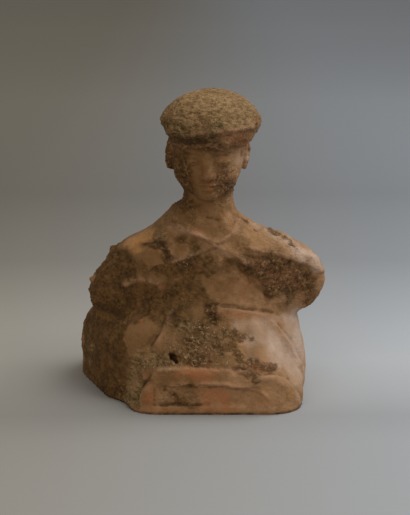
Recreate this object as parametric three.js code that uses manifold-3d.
// A weathered terracotta tomb figure of a cook, kneeling behind a low table.
// It is one fired piece: body, sleeves, head, cap and table are a single solid.
// Millimetres, +Z up. The figure faces -Y, and the origin is on the flat underside, below the neck.
// One implicit form is modelled from rounded volumes, as a potter builds up clay, and a turned
// blank is then carved back to that form, vertex by vertex, along rays from the figure's axis.

import * as THREE from 'three';
import { mergeVertices } from 'three/addons/utils/BufferGeometryUtils.js';
import Module from 'manifold-3d';

const wasm = await Module();
wasm.setup();

// Driving dimensions
const TABLE_FRONT = -98;
const TABLE_TOP = 46;
const CAP_RADIUS = 49;
const HEAD_TILT = THREE.MathUtils.degToRad(7);

// Body without arms: height, reach to -X, reach to +X, reach to -Y, reach to +Y
const BODY_GAUGE = [
  [-20, 94, 96, 60, 72],
  [0, 96, 97, 62, 75],
  [30, 97, 98, 64, 79],
  [58, 95, 92, 60, 71],
  [92, 88, 84, 51, 57],
  [122, 84, 80, 45, 53],
  [141, 78, 75, 42, 51],
  [154, 65, 60, 39, 48],
  [166, 52, 40, 35, 44],
  [176, 41, 29, 30, 38],
  [184, 30, 25, 25, 31],
  [192, 24, 24, 22, 27],
  [215, 23, 23, 21, 26],
];
const NECK_TOP = 236;
const BODY_SQUARENESS = 2.4;

// Smooth joins: how far from the seam each blend reaches
const BLEND = {
  arm: 12,
  sleeve: 10,
  leftArm: 8,
  breakEdge: 2,
  drape: 14,
  hip: 10,
  lap: 12,
  cap: 3,
  head: 8,
};

// Limbs: two ends and the radius at each
const RIGHT_ARM = { from: [-65, 4, 118], to: [-85, 2, 94], radii: [34.5, 34] };
const LEFT_ARM = { from: [60, 5, 120], to: [80, -8, 112], radii: [36, 35] };
const LEFT_SLEEVE = { from: [34, -22, 133], to: [70, -24, 114], radii: [25, 30] };
const LEFT_HIP = { from: [75, -20, 18], to: [74, -62, 12], radii: [17, 17] };
// The fallen sleeve beside the right knee: a mound along a line on the ground, and its sloping top
const DRAPE = { from: [-88, 26], to: [-66, -24], radii: [43, 43] };
const DRAPE_TOP = {
  height: 66,
  rise: 0.9,
  ridge: 20,
  ridgeWidth: 15,
  fall: 0.42,
  crest: 86,
  crestBlend: 24,
  rimBlend: 16,
};
// The break where the left forearm is lost: a point on it, and the way it faces
const BREAK_POINT = [72, -35.5, 118];
const BREAK_NORMAL = [0.43, -0.89, -0.15];

// Lap, sloping from the belly down to the table's front top edge
const LAP = {
  slope: THREE.MathUtils.degToRad(46),
  tilt: 0.06,
  left: -81,
  right: 91,
  flare: 0.42,
  back: 5,
  sideBlend: 24,
  frontBlend: 4,
  backBlend: 10,
};

// The table's front block, a little lower at its left end, and the sunk panel in its face
const BLOCK = { depth: 34, bevel: 3, corner: 22, drop: 6, planCorner: 16 };
const PANEL = { left: -52, right: 50, low: 9, high: 28, corner: 7, depth: 2.5 };

// Head: centre and half-sizes, in the head's own tilted frame (+X left ear, -Y face, +Z crown)
const HEAD_CENTRE = new THREE.Vector3(-1.5, -8, 238);
const CAP = { centre: [3.5, 2, 32], dome: 28.5, sink: 14, band: 20, bandTaper: 0.5, edgeBlend: 4 };
const SKULL = { centre: [0, 3, 10], radii: [36, 38, 40] };
const JAW = { centre: [0, -8, -16], radii: [30, 27, 26], blend: 14 };
const CHIN = { centre: [0, -27, -33], radii: [12, 8, 8], blend: 8 };
const SOCKET = { centre: [15, -39, 3], radii: [10, 7, 6], blend: 7 };
const NOSE = { from: [0, -32, 9], to: [0, -40, -12], radii: [4, 5.5], blend: 6 };
const LIPS = { centre: [0, -34, -23], radii: [11, 4, 3.5], blend: 5 };
const EYE = { centre: [15, -32, 2], radii: [8, 4, 4], blend: 4 };
const EAR = { centre: [37, 4, -3], radii: [6, 9, 16], blend: 6 };

// Modelled folds, seen from the front: a line of x and z, its half-width, and how far it stands up
const FOLDS = [
  // Upper lapel, from the neck and on to the right armpit
  { from: [30, 181], to: [11, 153], width: 5.5, raise: 3 },
  { from: [11, 153], to: [-48, 131], width: 6, raise: 3 },
  // Lower lapel
  { from: [-31, 168], to: [11, 154], width: 5.5, raise: 3 },
  // Crease under the left sleeve
  { from: [15, 148], to: [58, 101], width: 5, raise: -2.5 },
  // Crease at the waist
  { from: [-4, 96], to: [44, 89], width: 4.5, raise: -2.5 },
];

// Mesh density: the front gets more columns, and the head more rows
const COLUMNS = 72;
const FRONT_BIAS = 0.35;
const BODY_ROWS = 31;
const HEAD_ROWS = 25;
const DOME_ROWS = 8;
const BODY_TOP = 184;
const FAN_HEIGHT = 270;
const BLANK_RADIUS = 170;
const MARCH_STEP = 2;
const HALVINGS = 12;
const WELD = 1e-3;

const terracotta = new THREE.MeshStandardMaterial({ color: 0x8f6b4e, roughness: 0.95, metalness: 0 });

// Smooth joins and simple rounded volumes. Each volume gives a signed distance, below 0 inside.

function join(a, b, blend) {
  const h = Math.max(blend - Math.abs(a - b), 0) / blend;
  return Math.min(a, b) - (h * h * blend) / 4;
}

function trim(a, b, blend) {
  return -join(-a, -b, blend);
}

function ellipsoid(p, { centre, radii }) {
  const q = centre.map((c, i) => (p[i] - c) / radii[i]);
  const near = Math.hypot(...q);
  const slope = Math.hypot(...q.map((v, i) => v / radii[i]));
  return slope > 0 ? (near * (near - 1)) / slope : -Math.min(...radii);
}

function limb(p, { from, to, radii }) {
  const along = to.map((v, i) => v - from[i]);
  const away = from.map((v, i) => p[i] - v);
  const length = along.reduce((sum, v) => sum + v * v, 0);
  const t = THREE.MathUtils.clamp(along.reduce((sum, v, i) => sum + v * away[i], 0) / length, 0, 1);
  const gap = Math.hypot(...away.map((v, i) => v - along[i] * t));
  return gap - THREE.MathUtils.lerp(radii[0], radii[1], t);
}

// Reads the gauge at a height, easing between its stations
function gaugeAt(z) {
  const last = BODY_GAUGE.length - 1;
  let i = 0;
  while (i < last - 1 && BODY_GAUGE[i + 1][0] < z) i += 1;
  const [low, high] = [BODY_GAUGE[i], BODY_GAUGE[i + 1]];
  const [before, after] = [BODY_GAUGE[Math.max(i - 1, 0)], BODY_GAUGE[Math.min(i + 2, last)]];
  const span = high[0] - low[0];
  const t = THREE.MathUtils.clamp((z - low[0]) / span, 0, 1);
  return [1, 2, 3, 4].map((c) => {
    const startSlope = (high[c] - before[c]) / (high[0] - before[0]);
    const endSlope = (after[c] - low[c]) / (after[0] - low[0]);
    return (
      low[c] * (1 - t) * (1 - t) * (1 + 2 * t) +
      startSlope * span * t * (1 - t) * (1 - t) +
      high[c] * t * t * (3 - 2 * t) -
      endSlope * span * t * t * (1 - t)
    );
  });
}

function bodyCore([x, y, z]) {
  const [left, right, front, back] = gaugeAt(z);
  const reach = Math.hypot(x, y) + 1e-6;
  const n = BODY_SQUARENESS;
  const across = Math.abs(x) / (x < 0 ? left : right);
  const deep = Math.abs(y) / (y < 0 ? front : back);
  const edge = reach / Math.max((across ** n + deep ** n) ** (1 / n), 1e-6);
  return Math.max(reach - edge, z - NECK_TOP);
}

function drape([x, y, z]) {
  const { height, rise, ridge, ridgeWidth, fall, crest, crestBlend, rimBlend } = DRAPE_TOP;
  const mound = limb([x, y], DRAPE);
  const inward = x - (DRAPE.from[0] - DRAPE.radii[0]);
  const slope = z - height - rise * inward + fall * Math.hypot(y - ridge, ridgeWidth);
  const top = trim(slope / Math.hypot(1, rise), z - crest, crestBlend);
  return trim(mound, top, rimBlend);
}

function lap([x, y, z]) {
  const { slope, tilt, left, right, flare, back, sideBlend, frontBlend, backBlend } = LAP;
  const lean = Math.hypot(1, flare);
  const edge = TABLE_FRONT + BLOCK.bevel;
  const top = (z - TABLE_TOP + tilt * x) * Math.cos(slope) - (y - edge) * Math.sin(slope);
  const leftSide = (left - x + flare * z) / lean;
  const rightSide = (x - right + flare * z) / lean;
  const sides = trim(trim(top, leftSide, sideBlend), rightSide, sideBlend);
  return trim(trim(sides, edge + BLOCK.bevel - y, frontBlend), y - back, backBlend);
}

function breakFace(p) {
  return BREAK_NORMAL.reduce((sum, n, i) => sum + n * (p[i] - BREAK_POINT[i]), 0);
}

// The head, in its own frame. Its two sides are alike.
function head([x, y, z]) {
  const p = [x, y, z];
  const mirrored = [Math.abs(x), y, z];
  let form = ellipsoid(p, SKULL);
  form = join(form, ellipsoid(p, JAW), JAW.blend);
  form = join(form, ellipsoid(p, CHIN), CHIN.blend);
  form = trim(form, -ellipsoid(mirrored, SOCKET), SOCKET.blend);
  form = join(form, limb(p, NOSE), NOSE.blend);
  form = join(form, ellipsoid(p, LIPS), LIPS.blend);
  form = join(form, ellipsoid(mirrored, EYE), EYE.blend);
  return join(form, ellipsoid(mirrored, EAR), EAR.blend);
}

function cap([x, y, z]) {
  const [cx, cy, cz] = CAP.centre;
  const { dome, sink, band, bandTaper, edgeBlend } = CAP;
  const radius = CAP_RADIUS / Math.sqrt(1 - (sink / (dome + sink)) ** 2);
  const crownForm = { centre: [cx, cy, cz - sink], radii: [radius, radius, dome + sink] };
  const crown = ellipsoid([x, y, z], crownForm);
  const reach = Math.hypot(x - cx, y - cy);
  const side = (reach - CAP_RADIUS - bandTaper * (z - cz)) / Math.hypot(1, bandTaper);
  return trim(trim(crown, side, edgeBlend), cz - band - z, edgeBlend);
}

function toHead([x, y, z]) {
  const local = new THREE.Vector3(x, y, z).sub(HEAD_CENTRE);
  local.applyAxisAngle(new THREE.Vector3(1, 0, 0), -HEAD_TILT);
  return local.toArray();
}

function folds([x, y, z]) {
  if (y > 0) return 0;
  const lift = ({ from, to, width, raise }) => {
    const away = limb([x, z], { from, to, radii: [0, 0] });
    return raise * Math.exp(-((away / width) ** 2));
  };
  return FOLDS.reduce((sum, fold) => sum + lift(fold), 0);
}

// The whole figure, without the table's front block
function figure(p) {
  let form = bodyCore(p);
  form = join(form, limb(p, RIGHT_ARM), BLEND.arm);
  const leftArm = join(limb(p, LEFT_ARM), limb(p, LEFT_SLEEVE), BLEND.sleeve);
  form = join(form, trim(leftArm, breakFace(p), BLEND.breakEdge), BLEND.leftArm);
  form = join(form, drape(p), BLEND.drape);
  form = join(form, limb(p, LEFT_HIP), BLEND.hip);
  form = join(form, lap(p), BLEND.lap) - folds(p);
  const q = toHead(p);
  return join(form, join(head(q), cap(q), BLEND.cap), BLEND.head);
}

// The turned blank: a bullet with a flat foot, its rows closer together at the head
function turnedBlank() {
  const profile = [new THREE.Vector2(0, 0)];
  for (let i = 0; i < BODY_ROWS; i += 1) {
    profile.push(new THREE.Vector2(BLANK_RADIUS, (BODY_TOP * i) / BODY_ROWS));
  }
  for (let i = 0; i < HEAD_ROWS; i += 1) {
    profile.push(new THREE.Vector2(BLANK_RADIUS, BODY_TOP + ((FAN_HEIGHT - BODY_TOP) * i) / HEAD_ROWS));
  }
  for (let i = 0; i < DOME_ROWS; i += 1) {
    const angle = ((i / DOME_ROWS) * Math.PI) / 2;
    profile.push(
      new THREE.Vector2(BLANK_RADIUS * Math.cos(angle), FAN_HEIGHT + BLANK_RADIUS * Math.sin(angle)),
    );
  }
  profile.push(new THREE.Vector2(0, FAN_HEIGHT + BLANK_RADIUS));
  return new THREE.LatheGeometry(profile, COLUMNS).rotateX(Math.PI / 2);
}

// Distance from the anchor to the form's outermost surface along a direction
function carvedReach(form, anchor, direction) {
  const at = (t) => form(anchor.map((v, i) => v + direction[i] * t));
  let outside = BLANK_RADIUS;
  while (outside > MARCH_STEP && at(outside - MARCH_STEP) > 0) outside -= MARCH_STEP;
  let inside = outside - MARCH_STEP;
  for (let i = 0; i < HALVINGS; i += 1) {
    const middle = (inside + outside) / 2;
    if (at(middle) > 0) outside = middle;
    else inside = middle;
  }
  return (inside + outside) / 2;
}

function carve(blank, form) {
  const position = blank.attributes.position;
  for (let i = 0; i < position.count; i += 1) {
    const [x, y, z] = [position.getX(i), position.getY(i), position.getZ(i)];
    const anchor = [0, 0, Math.min(z, FAN_HEIGHT)];
    const rise = z - anchor[2];
    const radius = Math.hypot(x, y);
    if (radius < WELD && rise <= 0) continue;
    const turn = Math.atan2(x, -y);
    const angle = turn - FRONT_BIAS * Math.sin(turn);
    const length = Math.hypot(radius, rise);
    const flat = radius / length;
    const direction = [Math.sin(angle) * flat, -Math.cos(angle) * flat, rise / length];
    const reach = carvedReach(form, anchor, direction);
    position.setXYZ(i, ...anchor.map((v, k) => v + direction[k] * reach));
  }
  return blank;
}

// Evens out the carved rows, as a wet sponge does. The foot stays flat on the ground.
function sponge(shell) {
  const position = shell.attributes.position;
  const rows = position.count / (COLUMNS + 1);
  const before = Float32Array.from(position.array);
  const at = (column, row, axis) => before[(((column + COLUMNS) % COLUMNS) * rows + row) * 3 + axis];
  for (let column = 0; column <= COLUMNS; column += 1) {
    for (let row = 2; row < rows - 1; row += 1) {
      const i = column * rows + row;
      const place = [0, 1, 2].map((axis) => {
        const beside = at(column - 1, row, axis) + at(column + 1, row, axis);
        const aboveBelow = at(column, row - 1, axis) + at(column, row + 1, axis);
        return 0.5 * at(column, row, axis) + (beside + aboveBelow) / 8;
      });
      position.setXYZ(i, ...place);
    }
  }
  return shell;
}

// Splits each four-sided patch along the diagonal whose middle lies nearer to the form
function facet(shell, form) {
  const position = shell.attributes.position;
  const rows = position.count / (COLUMNS + 1);
  const point = (i) => new THREE.Vector3().fromBufferAttribute(position, i);
  const miss = (i, j) => Math.abs(form(point(i).add(point(j)).multiplyScalar(0.5).toArray()));
  const index = [];
  for (let column = 0; column < COLUMNS; column += 1) {
    for (let row = 0; row < rows - 1; row += 1) {
      const a = column * rows + row;
      const [b, c, d] = [a + rows, a + rows + 1, a + 1];
      const upward = miss(a, c) < miss(b, d);
      index.push(...(upward ? [a, b, c, a, c, d] : [a, b, d, c, d, b]));
    }
  }
  shell.setIndex(index);
  return shell;
}

// Solids for joining and cutting

function toSolid(geometry) {
  const bare = geometry.clone();
  bare.deleteAttribute('normal');
  bare.deleteAttribute('uv');
  const merged = mergeVertices(bare, WELD);
  const index = merged.index.array;
  const triangles = [];
  for (let i = 0; i < index.length; i += 3) {
    const [a, b, c] = [index[i], index[i + 1], index[i + 2]];
    if (a !== b && b !== c && c !== a) triangles.push(a, b, c);
  }
  return new wasm.Manifold(
    new wasm.Mesh({
      numProp: 3,
      vertProperties: new Float32Array(merged.attributes.position.array),
      triVerts: new Uint32Array(triangles),
    }),
  );
}

function toGeometry(solid) {
  const { vertProperties, triVerts } = solid.getMesh();
  const geometry = new THREE.BufferGeometry();
  geometry.setAttribute('position', new THREE.BufferAttribute(new Float32Array(vertProperties), 3));
  geometry.setIndex(new THREE.BufferAttribute(new Uint32Array(triVerts), 1));
  geometry.computeVertexNormals();
  return geometry;
}

// The table's front block: a loaf-shaped outline with softened edges, and rounded corners in plan
function tableBlock() {
  const { left, right, flare } = LAP;
  const { depth, bevel, corner, drop, planCorner } = BLOCK;
  const top = TABLE_TOP;
  const [topLeft, topRight] = [left + flare * top, right - flare * top];
  const outline = new THREE.Shape();
  outline.moveTo(left, 0);
  outline.lineTo(topLeft - flare * corner, top - corner);
  outline.quadraticCurveTo(topLeft, top, topLeft + corner, top);
  outline.lineTo(topRight - corner, top - drop);
  outline.quadraticCurveTo(topRight, top - drop, topRight + flare * corner, top - drop - corner);
  outline.lineTo(right, 0);
  const block = new THREE.ExtrudeGeometry(outline, {
    depth,
    bevelThickness: bevel,
    bevelSize: bevel,
    bevelOffset: -bevel,
    bevelSegments: 2,
    curveSegments: 6,
  });
  block.rotateX(Math.PI / 2);
  block.translate(0, TABLE_FRONT + bevel + depth, 0);

  const [front, back] = [TABLE_FRONT, TABLE_FRONT + depth + 2 * bevel];
  const plan = new THREE.Shape();
  plan.moveTo(left, back);
  plan.lineTo(left, front + planCorner);
  plan.quadraticCurveTo(left, front, left + planCorner, front);
  plan.lineTo(right - planCorner, front);
  plan.quadraticCurveTo(right, front, right, front + planCorner);
  plan.lineTo(right, back);
  const prism = new THREE.ExtrudeGeometry(plan, { depth: top, bevelEnabled: false, curveSegments: 6 });
  return toSolid(block).intersect(toSolid(prism));
}

// The sunk panel between the table's legs, as a cutter
function tablePanel() {
  const { left, right, low, high, corner, depth } = PANEL;
  const outline = new THREE.Shape();
  outline.absarc(left + corner, low + corner, corner, Math.PI, 1.5 * Math.PI);
  outline.absarc(right - corner, low + corner, corner, 1.5 * Math.PI, 2 * Math.PI);
  outline.absarc(right - corner, high - corner, corner, 0, 0.5 * Math.PI);
  outline.absarc(left + corner, high - corner, corner, 0.5 * Math.PI, Math.PI);
  const cutter = { depth: 2 * depth, bevelEnabled: false, curveSegments: 4 };
  const panel = new THREE.ExtrudeGeometry(outline, cutter);
  panel.rotateX(Math.PI / 2);
  panel.translate(0, TABLE_FRONT + depth, 0);
  return toSolid(panel);
}

const carved = toSolid(facet(sponge(carve(turnedBlank(), figure)), figure));
const solid = carved.add(tableBlock()).subtract(tablePanel());

const cook = new THREE.Mesh(toGeometry(solid), terracotta);
cook.name = 'cook_figure';

const model = new THREE.Group();
model.add(cook);
export default model;
